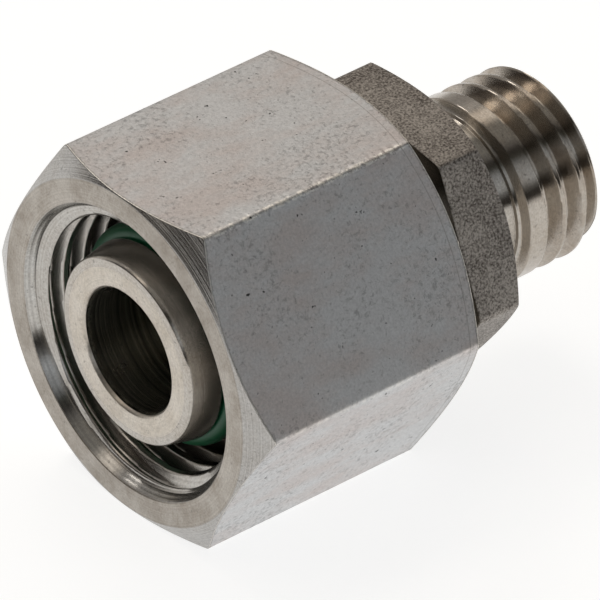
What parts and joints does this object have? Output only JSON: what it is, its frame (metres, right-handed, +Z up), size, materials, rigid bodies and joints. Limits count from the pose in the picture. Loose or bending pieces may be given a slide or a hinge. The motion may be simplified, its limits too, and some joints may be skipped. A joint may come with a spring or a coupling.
{
  "type": "reducing coupling",
  "caption": "Reducing coupling for hydraulic tube: a swivelling hexagon union nut over a conical nose with a rubber seal, and a smaller threaded cone end behind its own hexagon.",
  "frame": {"origin": "On the axis, in the plane of the open face of the union nut.", "axes": "+X runs along the axis from the nut's open face to the small threaded end. +Z is up, square to the flat that the nut lies on. +Y completes the right-handed frame."},
  "size_m": [0.0314, 0.0254, 0.022],
  "materials": {
    "nut_steel": "bright drawn stainless hexagon bar with fine pits, turned end faces",
    "body_steel": "turned stainless steel with fine tool rings, dull hexagon flats",
    "seal_rubber": "smooth green rubber",
    "spring_wire": "drawn spring wire"
  },
  "bodies": {
    "fitting": {"fitting_body": "body_steel", "o_ring": "seal_rubber"},
    "ring": {"retaining_ring": "spring_wire"},
    "nut": {"union_nut": "nut_steel"}
  },
  "joints": [
    {"name": "nut_turn", "type": "hinge", "parent": "fitting", "child": "ring", "pos_m": [0.01525, 0, 0], "axis": [1, 0, 0], "continuous": true},
    {"name": "nut_slide", "type": "slide", "parent": "ring", "child": "nut", "axis": [1, 0, 0], "range_m": [0, 0.0008]}
  ]
}
